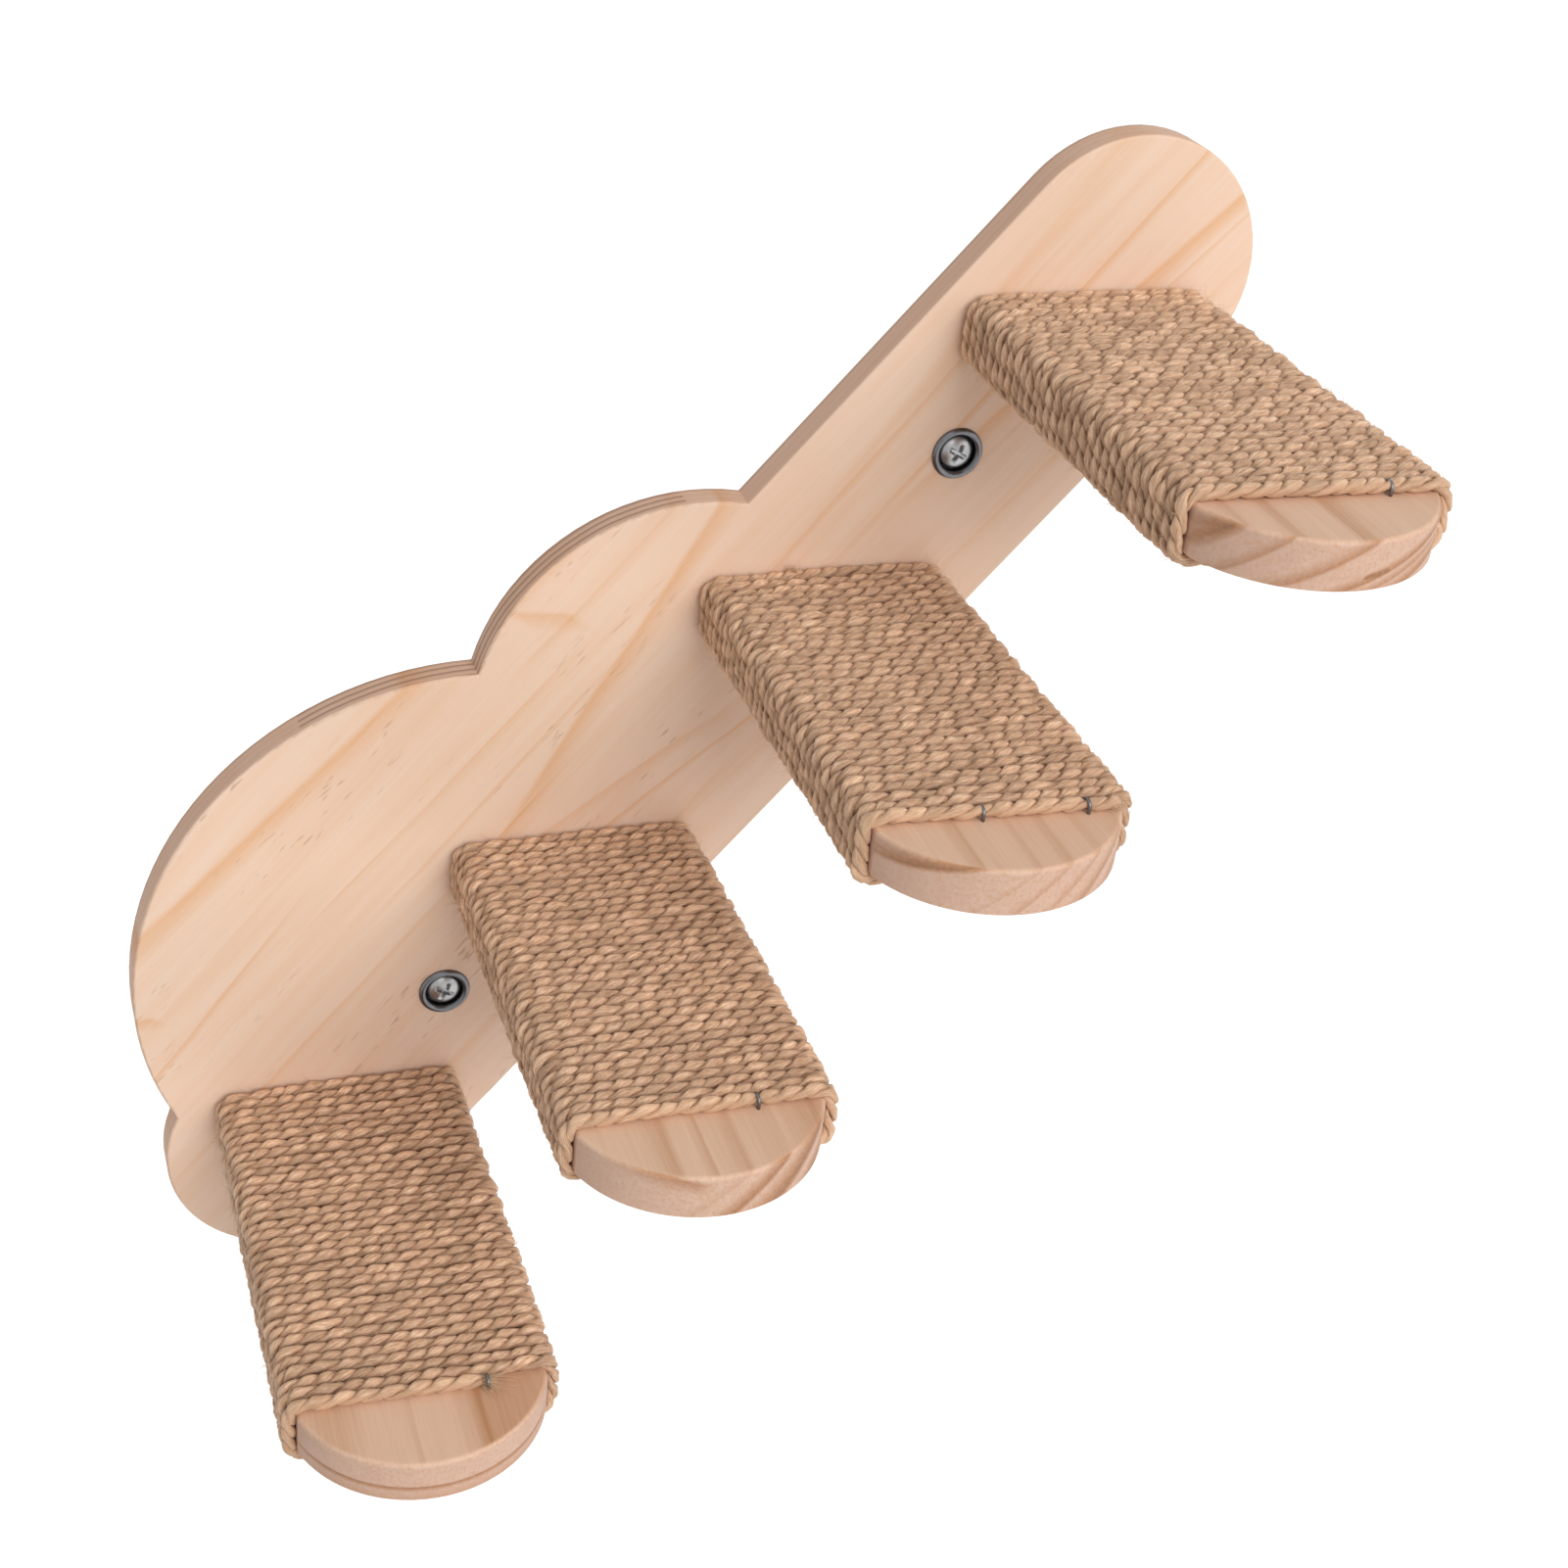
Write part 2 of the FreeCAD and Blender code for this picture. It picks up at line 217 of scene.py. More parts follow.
# staples: wire, half width of the crown, and how far they press the rope in
staple_wire = 0.0012
staple_reach = 0.0020
staple_pinch = 0.35

# cup washer: radii as shares of the outer one, depths as shares of its height
cup_body = 0.82
cup_inner = 0.73
cup_hole = 0.29
cup_corner = 0.03
cup_face = 0.286
cup_floor = 0.18

# wall screw: shares of the head's radius, and of the head's height for dome and rim
head_height = 0.585
neck_radius = 0.37
thread_radius = 0.42
dome_height = 0.55
rim_height = 0.3
dome_angles = (0.01, 1.35)
neck_length = 0.012
recess_half_width = 0.15
recess_reach = 0.62
recess_depth = 0.26
recess_flank = 0.07
recess_run_out = 0.30
recess_turn = 0.5
thread_pitch = 0.0024
thread_root = 0.92
thread_flank = 0.22
thread_lap = 0.001
thread_run_in = 0.002
tip_length = 0.006
tip_bluntness = 0.02

# stage: lights as place, diameter and power, and the camera that the photograph was taken with
light_aim = (0.0, -0.1, 0.0)
lights = {"key": ((0.80, -4.0, 2.3), 3.0, 124.0), "side": ((2.4, -2.2, 0.7), 1.6, 10.0)}
world_light = 0.45
floor_reach = 14.0
floor_drop = 0.9
floor_glow = 0.62
camera_place = (-0.2577, -0.7356, 0.4464)
camera_yaw = math.radians(22.316)
camera_pitch = math.radians(31.271)
camera_roll = math.radians(6.193)
camera_lens = 53.862
camera_sensor = 36.0
camera_nearest = 0.01


# meshes and pieces
def new_piece(name, mesh, material, replaced=()):
    """Links a finished mesh as a piece that rides on the part's body."""
    mesh.materials.append(material)
    piece = bpy.data.objects.new(name, mesh)
    bpy.context.scene.collection.objects.link(piece)
    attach(piece, "root")
    if replaced:
        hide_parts(*replaced)


def grid_mesh(name, rings, closed_ends=True):
    """Mesh through rings of points, shaped (tubes, rings, points on a ring, 3)."""
    tubes, count, sides, _ = rings.shape
    ids = np.arange(tubes * count * sides).reshape(tubes, count, sides)
    here = ids[:, :-1, :]
    ahead = ids[:, 1:, :]
    quads = np.stack([here, np.roll(here, -1, 2), np.roll(ahead, -1, 2), ahead], -1).reshape(-1, 4)
    caps = np.concatenate([ids[:, 0, ::-1], ids[:, -1, :]]) if closed_ends else np.zeros((0, sides), int)
    corners = np.concatenate([quads.ravel(), caps.ravel()])
    sizes = np.concatenate([np.full(len(quads), 4), np.full(len(caps), sides)])
    starts = np.concatenate([[0], np.cumsum(sizes)[:-1]])
    mesh = bpy.data.meshes.new(name)
    mesh.vertices.add(ids.size)
    mesh.vertices.foreach_set("co", rings.reshape(-1).astype(np.float32))
    mesh.loops.add(corners.size)
    mesh.loops.foreach_set("vertex_index", corners.astype(np.int32))
    mesh.polygons.add(len(sizes))
    mesh.polygons.foreach_set("loop_start", starts.astype(np.int32))
    mesh.polygons.foreach_set("use_smooth", np.ones(len(sizes), bool))
    mesh.update(calc_edges=True)
    mesh.validate()
    return mesh


def turn_out(mesh):
    """Turns the faces of a closed mesh outwards."""
    work = bmesh.new()
    work.from_mesh(mesh)
    bmesh.ops.recalc_face_normals(work, faces=work.faces)
    work.to_mesh(mesh)
    work.free()


def add_attribute(mesh, name, values, kind="FLOAT", field="value"):
    """Stores a number or a vector at each point of a mesh."""
    layer = mesh.attributes.new(name, kind, "POINT")
    layer.data.foreach_set(field, values.reshape(-1).astype(np.float32))


def unit(vectors):
    return vectors / np.linalg.norm(vectors, axis=-1, keepdims=True)


def ring_angles(sides):
    return np.arange(sides) * 2 * math.pi / sides


class Nodes:
    """Small helper that adds nodes to a tree; a value is either a number or what another node gives."""

    def __init__(self, tree):
        self.tree = tree

    def node(self, kind, values=None, **settings):
        made = self.tree.nodes.new(kind)
        for key, value in settings.items():
            setattr(made, key, value)
        for key, value in (values or {}).items():
            self.put(made.inputs[key], value)
        return made

    def put(self, socket, value):
        if isinstance(value, bpy.types.NodeSocket):
            self.tree.links.new(value, socket)
        else:
            socket.default_value = value

    def math(self, operation, first, second=0.0):
        return self.node("ShaderNodeMath", {0: first, 1: second}, operation=operation).outputs[0]

    def span(self, value, low, high, to_low, to_high):
        values = {0: value, 1: low, 2: high, 3: to_low, 4: to_high}
        return self.node("ShaderNodeMapRange", values).outputs[0]

    def seen_directly(self):
        """One for rays from the camera, also by way of a mirror or glass, and nought for all others."""
        path = self.node("ShaderNodeLightPath").outputs
        seen = self.math("MAXIMUM", path["Is Camera Ray"], path["Is Glossy Ray"])
        return self.math("MAXIMUM", seen, path["Is Transmission Ray"])


class Shader(Nodes):
    """A new material, with the nodes that its surface needs."""

    def __init__(self, name):
        self.material = bpy.data.materials.new(name)
        self.material.use_nodes = True
        super().__init__(self.material.node_tree)
        self.surface = self.tree.nodes["Principled BSDF"]

    def give(self, socket, value):
        self.put(self.surface.inputs[socket], value)

    def place(self):
        return self.node("ShaderNodeTexCoord").outputs["Object"]

    def attribute(self, name, output="Fac"):
        return self.node("ShaderNodeAttribute", attribute_name=name).outputs[output]

    def vector_math(self, operation, first, second):
        made = self.node("ShaderNodeVectorMath", {0: first, 1: second}, operation=operation)
        return made.outputs["Value" if operation == "DOT_PRODUCT" else "Vector"]

    def noise(self, vector, scale, detail=3.0, roughness=0.5):
        values = {"Vector": vector, "Scale": scale, "Detail": detail, "Roughness": roughness}
        return self.node("ShaderNodeTexNoise", values).outputs["Fac"]

    def noise_1d(self, place, scale, detail):
        values = {"W": place, "Scale": scale, "Detail": detail}
        return self.node("ShaderNodeTexNoise", values, noise_dimensions="1D").outputs["Fac"]

    def ramp(self, factor, stops):
        made = self.node("ShaderNodeValToRGB", {"Fac": factor})
        elements = made.color_ramp.elements
        while len(elements) < len(stops):
            elements.new(0.5)
        for element, (place, colour) in zip(elements, stops):
            element.position = place
            element.color = (*colour, 1.0)
        return made.outputs["Color"]

    def mix(self, factor, first, second, blend="MIX"):
        """Mix of two colours, each three numbers or what another node gives."""
        made = self.node("ShaderNodeMix", data_type="RGBA", blend_type=blend)
        self.put(made.inputs[0], factor)
        for socket, colour in ((6, first), (7, second)):
            self.put(made.inputs[socket], (*colour, 1.0) if isinstance(colour, tuple) else colour)
        return made.outputs[2]

    def bump(self, height, strength, distance):
        values = {"Height": height, "Strength": strength, "Distance": distance}
        self.give("Normal", self.node("ShaderNodeBump", values).outputs["Normal"])


# materials
def grey(level):
    return (level, level, level)


def streak(s, p, q, end, line):
    """One line of late wood: it deepens slowly, ends sharply and fades at its two ends."""
    (p_middle, q_middle), (p_share, q_share), width, strength, end_strength, reach = line
    along = s.math("SUBTRACT", p, p_middle)
    offset = s.math("MULTIPLY", along, p_share)
    offset = s.math("ADD", offset, s.math("MULTIPLY", s.math("SUBTRACT", q, q_middle), q_share))
    rise = s.math("POWER", s.span(offset, -width, 0.0, 0.0, 1.0), 1.1)
    fall = s.span(offset, 0.0, 0.3 * width, 1.0, 0.0)
    near = s.span(s.math("ABSOLUTE", along), 0.6 * reach, reach, 1.0, 0.0)
    near = s.math("MULTIPLY", near, s.span(end, 0.1, 0.6, strength, end_strength))
    return s.math("MULTIPLY", s.math("MULTIPLY", rise, fall), near)


def drawn_out(s, u, share, v, w):
    """A place whose noise is drawn out along the grain."""
    values = {0: s.math("MULTIPLY", u, share), 1: v, 2: w}
    return s.node("ShaderNodeCombineXYZ", values).outputs[0]


def resin_dashes(s, u, place):
    """Short dark dashes, in patches on the board's lower part."""
    dash = s.span(s.noise(place, dash_scale, 1.0), 0.64, 0.74, 0.0, 0.55)
    patch = s.span(s.noise(place, dash_patch_scale, 1.0), 0.48, 0.62, 0.0, 1.0)
    low = s.span(u, dash_end, dash_end + dash_fade, 1.0, 0.0)
    return s.math("MULTIPLY", s.math("MULTIPLY", dash, patch), low)


def edge_lines(s, u, v, w, edge):
    """Yearly rings on the board's edge, strongest on the lobes below the joint."""
    wave = s.span(s.noise_1d(u, 14.0, 2.0), 0.0, 1.0, -0.6, 0.6)
    rings = s.math("FRACT", s.math("ADD", s.math("DIVIDE", w, ring_spacing), wave))
    stops = ((0.0, 0.1), (0.1, 0.0), (0.5, 0.1), (0.85, 0.9), (1.0, 0.3))
    line = s.ramp(rings, [(place, grey(level)) for place, level in stops])
    middle = (edge_joint + edge_layers_end) / 2
    half = (edge_joint - edge_layers_end) / 2
    from_middle = s.math("ABSOLUTE", s.math("SUBTRACT", u, middle))
    near = s.span(from_middle, half, half + joint_width, strong_ring, 0.0)
    upper = s.span(v, -0.01, 0.0, 0.0, 1.0)
    strength = s.math("MAXIMUM", s.math("MULTIPLY", near, upper), faint_ring)
    back = s.span(w, -0.0020, -0.0008, 0.0, 0.35)
    line = s.math("MAXIMUM", s.math("MULTIPLY", line, strength), back)
    return s.math("MULTIPLY", line, s.span(edge, 0.6, 0.9, 0.0, 1.0))


def pine(name, axes, centre, seed, lines, tones, band_share, is_board):
    """Pine: streaks of late wood at given places, bands, fibres, resin dashes and speckled end grain."""
    along, _, through = axes
    s = Shader(name)
    place = s.vector_math("SUBTRACT", s.place(), centre)
    u, v, w = (s.vector_math("DOT_PRODUCT", place, axis) for axis in axes)
    sway = s.span(s.noise_1d(u, 11.0, 3.0), 0.0, 1.0, -grain_sway, grain_sway)
    swayed = s.math("ADD", v, sway)
    shifted = s.math("ADD", v, seed)
    normal = s.node("ShaderNodeNewGeometry").outputs["Normal"]
    end = s.math("ABSOLUTE", s.vector_math("DOT_PRODUCT", normal, along))
    edge = s.math("SUBTRACT", 1.0, s.math("ABSOLUTE", s.vector_math("DOT_PRODUCT", normal, through)))
    late = 0.0
    for line in lines:
        pair = (u, swayed) if is_board else (swayed, w)
        late = s.math("ADD", streak(s, *pair, end, line), late)
    short_place = drawn_out(s, u, dash_draw, shifted, w)
    fibre = s.noise(drawn_out(s, u, fibre_draw, shifted, w), fibre_scale, 4.0, 0.65)
    band = s.noise(drawn_out(s, u, band_draw, s.math("ADD", shifted, sway), w), band_scale, 3.0, 0.6)
    cloud = s.noise(short_place, cloud_scale, 2.0)
    speck = s.noise(place, speck_scale, 2.0, 0.6)
    pink = tuple(level * tint for level, tint in zip(tones.pale, pink_tint))
    wood = s.mix(s.span(cloud, 0.35, 0.65, 0.0, 1.0), tones.pale, pink)
    wood = s.mix(s.span(band, 0.42, 0.72, 0.0, band_share), wood, tones.dark)
    share = s.math("MULTIPLY", s.math("MINIMUM", late, 1.0), s.span(fibre, 0.3, 0.7, 0.75, 1.15))
    wood = s.mix(share, wood, tones.dark)
    wood = s.mix(s.span(late, 1.0, 1.5, 0.0, 0.8), wood, tones.dash)
    wood = s.mix(s.span(fibre, 0.35, 0.7, 0.0, 0.15), wood, tones.dark)
    if is_board:
        dash = resin_dashes(s, u, short_place)
        wood = s.mix(s.math("MULTIPLY", dash, s.math("SUBTRACT", 1.0, edge)), wood, tones.dash)
    wood = s.mix(edge, wood, s.mix(1.0, wood, tones.edge, "MULTIPLY"))
    wood = s.mix(s.math("MULTIPLY", s.span(speck, 0.45, 0.7, 0.0, 0.5), end), wood, tones.dark)
    if is_board:
        wood = s.mix(edge_lines(s, u, v, w, edge), wood, layer_tone)
    s.give("Base Color", wood)
    s.give("Roughness", s.span(fibre, 0.3, 0.7, 0.50, 0.66))
    s.give("Specular IOR Level", 0.3)
    s.bump(s.math("ADD", s.math("MULTIPLY", fibre, 0.6), s.math("MULTIPLY", late, 0.2)), 0.15, 0.0005)
    return s.material


def jute():
    """Twisted jute: fibres lie along the strands, with a painted highlight where they stand out from the rope
    and painted shade in the grooves between them.
    """
    s = Shader("jute_rope")
    fibre = s.noise(s.attribute("fibre_place", "Vector"), 1.0, 3.0, 0.6)
    patch = s.noise(s.place(), 55.0, 3.0)
    colour = s.ramp(fibre, fibre_stops)
    colour = s.mix(s.span(patch, 0.35, 0.7, 0.0, 0.35), colour, patch_tone)
    colour = s.mix(s.math("MULTIPLY", s.attribute("last_turn"), 0.35), colour, gold_tone)
    # painted highlight on the strands' crests and painted shade in the grooves, from each point's height out
    # from the rope's line; each grain also gets a random tone
    painted_crest_light = s.span(s.attribute("painted_light_height"), 0.62, 0.98, 0.85, 1.18)
    by_grain = s.span(s.attribute("grain_tone"), -2.0, 2.0, 0.84, 1.16)
    crest_light_and_grain_tone = s.math("MULTIPLY", painted_crest_light, by_grain)
    levels = {0: crest_light_and_grain_tone, 1: s.math("POWER", crest_light_and_grain_tone, 1.1), 2: s.math("POWER", crest_light_and_grain_tone, 1.2)}
    crest_light_and_grain_colour = s.node("ShaderNodeCombineColor", levels).outputs[0]
    s.give("Base Color", s.mix(1.0, colour, crest_light_and_grain_colour, "MULTIPLY"))
    s.give("Roughness", s.span(fibre, 0.3, 0.7, 0.70, 0.42))
    s.give("Specular IOR Level", 0.5)
    s.give("Sheen Weight", 0.1)
    s.bump(fibre, 0.7, 0.0005)
    return s.material


def loose_jute():
    """Loose fibres, paler and darker from place to place, and paler overall than the rope: painted light
    against the shade that dense tufts cast on themselves.
    """
    s = Shader("jute_fibre")
    s.give("Base Color", s.ramp(s.noise(s.place(), 220.0), painted_light_fuzz_stops))
    s.give("Roughness", 0.8)
    return s.material


def steel(name, colour, rough_low, rough_high, scratch):
    """Plated steel with fine scratches and dull patches."""
    s = Shader(name)
    place = s.place()
    fine = s.noise(place, 1400.0, 4.0, 0.7)
    cloud = s.noise(place, 260.0, 2.0)
    dull = tuple(level * 0.7 for level in colour)
    s.give("Base Color", s.mix(s.span(cloud, 0.35, 0.65, 0.0, 0.5), colour, dull))
    s.give("Metallic", 1.0)
    s.give("Roughness", s.span(fine, 0.3, 0.7, rough_low, rough_high))
    s.bump(fine, scratch, 0.0001)
    return s.material


# rope
Winding = namedtuple("Winding", "centre half_width half_height inner first pitch")
Path = namedtuple("Path", "run line forward sideways outward")


def winding_sizes(number):
    """Sizes of a step's winding at the rope's middle line, and its first turn's place and pitch."""
    low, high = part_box(f"step_board_{number}")
    wound_low, wound_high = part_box(f"step_rope_{number}")
    half_width = (high.x - low.x) / 2 + rope_radius
    half_height = (high.z - low.z) / 2 + rope_radius
    first = wound_high.y - rope_radius
    last = wound_low.y + rope_radius
    pitch = (first - last) / (rope_turns[number] - 1)
    return Winding((low + high) / 2, half_width, half_height, half_width - 2 * rope_bend, first, pitch)


windings = {number: winding_sizes(number) for number in step_numbers}


def turn_place(number, turn, x):
    """Where a turn lies along Y at x from the step's middle: turns slant across the top."""
    winding = windings[number]
    lead = rope_lead[number] * min(1.0, turn / rope_settles)
    return winding.first - turn * winding.pitch - lead * (x + winding.half_width) / (2 * winding.half_width)


def turn_points(number, turn):
    """Control points of one turn: over the top from left to right, and back below to the next turn."""
    winding = windings[number]
    side = winding.half_width
    height = winding.half_height
    profile = [(-side, -height), (-side, 0.0), (-side, height)]
    profile += [(share * winding.inner, height) for share in top_shares]
    profile += [(side, height), (side, 0.0), (side, -height)]
    over = [(x, turn_place(number, turn, x), z) for x, z in profile]
    finish = turn_place(number, turn, side)
    ahead = turn_place(number, turn + 1, -side)
    below = []
    for x in [share * winding.inner for share in under_shares]:
        below.append((x, finish + (ahead - finish) * (side - x) / (2 * side), -height))
    return over, below


def winding_points(number):
    """Control points of a step's rope, from its start on the underside to its end at the nose."""
    random = np.random.RandomState(100 + number)
    winding = windings[number]
    height = winding.half_height
    reach = rope_end_reach[number]
    last_turn = rope_turns[number] - 1
    route = [(share * winding.inner, winding.first, -height) for share in under_shares[1:]]
    for turn in range(last_turn):
        over, below = turn_points(number, turn)
        route += over + below
    over, below = turn_points(number, last_turn)
    if reach > winding.half_width:
        route += over + below[:1]
    else:
        route += [point for point in over if point[0] <= reach - rope_radius]
        end_place = turn_place(number, last_turn, reach) + rope_end_tuck
        route.append((reach, end_place, height - rope_end_dip))
    shaken = []
    for x, y, z in route:
        jolt = random.normal(0.0, rope_wobble, 2)
        lift = math.copysign(abs(jolt[1]), z) if abs(z) >= height else 0.0
        shaken.append((winding.centre.x + x, y + jolt[0], winding.centre.z + z + lift))
    return shaken


def spline_points(points):
    """Evenly spaced points on the smooth line that the control points give, and how far along each is."""
    curve = bpy.data.curves.new("route", "CURVE")
    curve.dimensions = "3D"
    spline = curve.splines.new("NURBS")
    spline.points.add(len(points) - 1)
    for control, place in zip(spline.points, points):
        control.co = (*place, 1.0)
    spline.order_u = 3
    spline.use_endpoint_u = True
    spline.resolution_u = rope_smoothness
    holder = bpy.data.objects.new("route", curve)
    mesh = bpy.data.meshes.new_from_object(holder)
    line = np.zeros(len(mesh.vertices) * 3)
    mesh.vertices.foreach_get("co", line)
    line = line.reshape(-1, 3)
    bpy.data.meshes.remove(mesh)
    bpy.data.objects.remove(holder)
    bpy.data.curves.remove(curve)
    run = np.concatenate([[0.0], np.cumsum(np.linalg.norm(np.diff(line, axis=0), axis=1))])
    even = np.linspace(0.0, run[-1], int(run[-1] / strand_step))
    return even, np.stack([np.interp(even, run, line[:, axis]) for axis in range(3)], 1)


def rope_path(number):
    """A step's rope as evenly spaced points, with the directions along, beside and out of it."""
    run, line = spline_points(winding_points(number))
    forward = unit(np.gradient(line, axis=0))
    sideways = unit(np.array([0.0, 1.0, 0.0]) - forward * forward[:, 1:2])
    return Path(run, line, forward, sideways, np.cross(forward, sideways))


def drift(random, run, wavelength):
    """Smooth random values from -1 to 1 along a run."""
    knots = random.uniform(-1.0, 1.0, int(run[-1] / wavelength) + 3)
    place = run / wavelength
    index = place.astype(int)
    share = place - index
    share = share * share * (3.0 - 2.0 * share)
    return knots[index] * (1.0 - share) + knots[index + 1] * share


def turns_made(path, centre):
    """Turns made at each point of a rope, and a turn's length; the middle of the step's top counts them."""
    x, z = path.line[:, 0], path.line[:, 2]
    crosses = (x[:-1] < centre.x) & (x[1:] >= centre.x) & (z[1:] > centre.z)
    marks = path.run[1:][crosses]
    length = (marks[-1] - marks[0]) / (len(marks) - 1)
    places = np.concatenate([[marks[0] - length], marks, [marks[-1] + length]])
    return np.interp(path.run, places, np.arange(len(places)) - 1.0), length


def rope_twist(random, path, number):
    """Angle by which the strands have turned about the rope's line at each point."""
    turns, length = turns_made(path, windings[number].centre)
    grains = (round(strand_count * length / strand_lay) - grain_shift) * turns
    slow, quick = [drift(random, path.run, wave) for wave in grain_waves]
    grains = grains + grain_wander * (slow + quick_share * quick)
    return 2 * math.pi / strand_count * (grains - grains.min())


def rope_girth(random, path, number):
    """Share of its full girth that the rope has at each point: staples press it in."""
    girth = 1.0 + girth_uneven * drift(random, path.run, girth_wave)
    for place in staple_places[number]:
        near = np.linalg.norm(path.line - np.array(place), axis=1)
        girth = girth * (1.0 - staple_pinch * np.exp(-(near / rope_radius) ** 2))
    return girth


def strand_rings(random, path, twist, girth, snug):
    """Rings of one strand: an oval that winds about the rope's line and swells from grain to grain."""
    rise = np.cos(twist)[:, None] * path.outward
    swing = np.sin(twist)[:, None] * path.sideways
    apart = girth * (1.0 + strand_uneven * drift(random, path.run, middle_wave))
    middle = path.line + apart[:, None] * (rise * strand_rise + swing * strand_swing * snug)
    up = rise + swing
    across = unit(np.cross(unit(np.gradient(middle, axis=0)), up))
    bead = 1.0 + strand_bead * np.cos(2 * twist)
    swell = snug * girth * bead * (1.0 + 0.5 * strand_uneven * drift(random, path.run, width_wave))
    thick = girth * (1.0 + strand_uneven * drift(random, path.run, height_wave))
    angles = ring_angles(strand_sides)[None, :, None]
    high = np.cos(angles) * ((strand_high * thick)[:, None] * up)[:, None, :]
    wide = np.sin(angles) * ((strand_wide * swell)[:, None] * across)[:, None, :]
    return middle[:, None, :] + high + wide


def grain_tones(random, twist):
    """A random tone for each grain, which is the part of a strand that shows between two dips."""
    grain = ((twist + math.pi) / (2 * math.pi)).astype(int)
    return random.normal(0.0, 1.0, grain[-1] + 1)[grain]


def fibre_places(run, strand):
    """Where the points of a strand lie in the noise that draws its fibres."""
    slant = ring_angles(strand_sides)[None, :] - fibre_skew * run[:, None]
    along = np.broadcast_to(fibre_density * run[:, None], slant.shape)
    shift = strands_apart * strand
    return np.stack([fibre_ring * np.cos(slant) + shift, fibre_ring * np.sin(slant), along], -1)


def rope_piece(number, material):
    """All the turns of one step's rope, as strands twisted round one line."""
    random = np.random.RandomState(200 + number)
    path = rope_path(number)
    turned = rope_twist(random, path, number)
    girth = rope_girth(random, path, number)
    snug = windings[number].pitch / (2 * rope_radius)
    strands, tones, fibres = [], [], []
    for strand in range(strand_count):
        twist = turned + 2 * math.pi * strand / strand_count
        strands.append(strand_rings(random, path, twist, girth, snug))
        tones.append(grain_tones(random, twist))
        fibres.append(fibre_places(path.run, strand))
    rings = np.array(strands)
    shape = rings.shape[:3]
    # height of each point out from the rope's line, which the jute material turns into painted highlight on
    # the crests and painted shade in the grooves
    crest = np.sum((rings - path.line[:, None, :]) * path.outward[:, None, :], axis=-1) / rope_radius
    last = np.clip((path.run - path.run[-1] + gold_length) / gold_fade, 0.0, 1.0)
    mesh = grid_mesh(f"rope_{number}", rings)
    add_attribute(mesh, "fibre_place", np.array(fibres), "FLOAT_VECTOR", "vector")
    add_attribute(mesh, "painted_light_height", crest)
    add_attribute(mesh, "grain_tone", np.broadcast_to(np.array(tones)[:, :, None], shape))
    add_attribute(mesh, "last_turn", np.broadcast_to(last[None, :, None], shape))
    new_piece(f"rope_{number}", mesh, material, [f"step_rope_{number}"])
    return path


def hair_rings(start, lean, curl, length, radius):
    """Rings of thin tapered hairs that start at given points and bend a little."""
    steps = np.linspace(0.0, 1.0, hair_points)[None, :, None]
    middle = start[:, None, :] + steps * (lean * length)[:, None, :]
    middle = middle + steps ** 2 * (curl * length * hair_bend)[:, None, :]
    first = unit(np.cross(lean, curl))
    second = unit(np.cross(lean, first))
    angles = ring_angles(hair_sides)[None, :, None]
    ring = np.cos(angles) * first[:, None, :] + np.sin(angles) * second[:, None, :]
    taper = (radius * (1.0 - hair_taper * steps))[:, :, None, :]
    return middle[:, :, None, :] + taper * ring[:, None, :, :]


def tuft_rings(random, root, way, count, longest):
    """Hairs that fan out from one place of the rope."""
    spread = random.normal(0, 1, (count, 3)) * np.array(tuft_spread)
    curl = unit(random.normal(0, 1, (count, 3)))
    length = random.uniform(fuzz_shortest, longest, (count, 1))
    start = root + spread * rope_radius * 0.8
    return hair_rings(start, unit(way + spread * 0.9), curl * 0.6, length, tuft_radius)


def fuzz_piece(number, path, material):
    """Loose fibres on the rope's outer side, and tufts where it ends on the step's top or meets the board."""
    random = np.random.RandomState(300 + number)
    winding = windings[number]
    centre = np.array(winding.centre)
    pick = random.randint(fuzz_margin, len(path.line) - fuzz_margin, fuzz_count)
    line, forward, sideways, outward = [part[pick] for part in path[1:]]
    away = outward * np.sign(np.sum(outward * (line - centre), axis=1, keepdims=True))
    single = (fuzz_count, 1)
    start = line + away * rope_radius * fuzz_depth
    start = start + sideways * random.uniform(-fuzz_aside, fuzz_aside, single) * rope_radius
    lean = away * random.uniform(*fuzz_lift, single)
    lean = lean + forward * random.normal(0, 1, single)
    lean = unit(lean + sideways * random.normal(0, 0.5, single))
    curl = unit(random.normal(0, 1, (fuzz_count, 3)))
    length = random.uniform(fuzz_shortest, fuzz_longest, single)
    hairs = [hair_rings(start, lean, curl, length, fuzz_radius)]
    if number in tuft_longest:
        way = path.forward[-1] + np.array(tuft_fall)
        root = path.line[-1] - path.forward[-1] * rope_radius
        hairs.append(tuft_rings(random, root, way, tuft_count, tuft_longest[number]))
    if number in wall_tufts:
        lift = winding.half_height + 0.6 * rope_radius
        root = centre + np.array([wall_tufts[number], winding.first - centre[1], lift])
        hairs.append(tuft_rings(random, root, np.array(wall_tuft_way), wall_tuft_count, wall_tuft_longest))
    mesh = grid_mesh(f"rope_fuzz_{number}", np.concatenate(hairs))
    new_piece(f"rope_fuzz_{number}", mesh, material)


# staples, screws and washers
def tube_along(points, radius, sides=10):
    """Rings round a short bent wire."""
    line = np.array(points)
    ahead = unit(np.gradient(line, axis=0))
    flat = unit(np.cross(line[-1] - line[0], line[len(line) // 2] - line[0]))
    up = unit(np.cross(ahead, flat))
    angles = ring_angles(sides)[None, :, None]
    ring = np.cos(angles) * flat[None, None, :] + np.sin(angles) * up[:, None, :]
    return line[:, None, :] + radius * ring


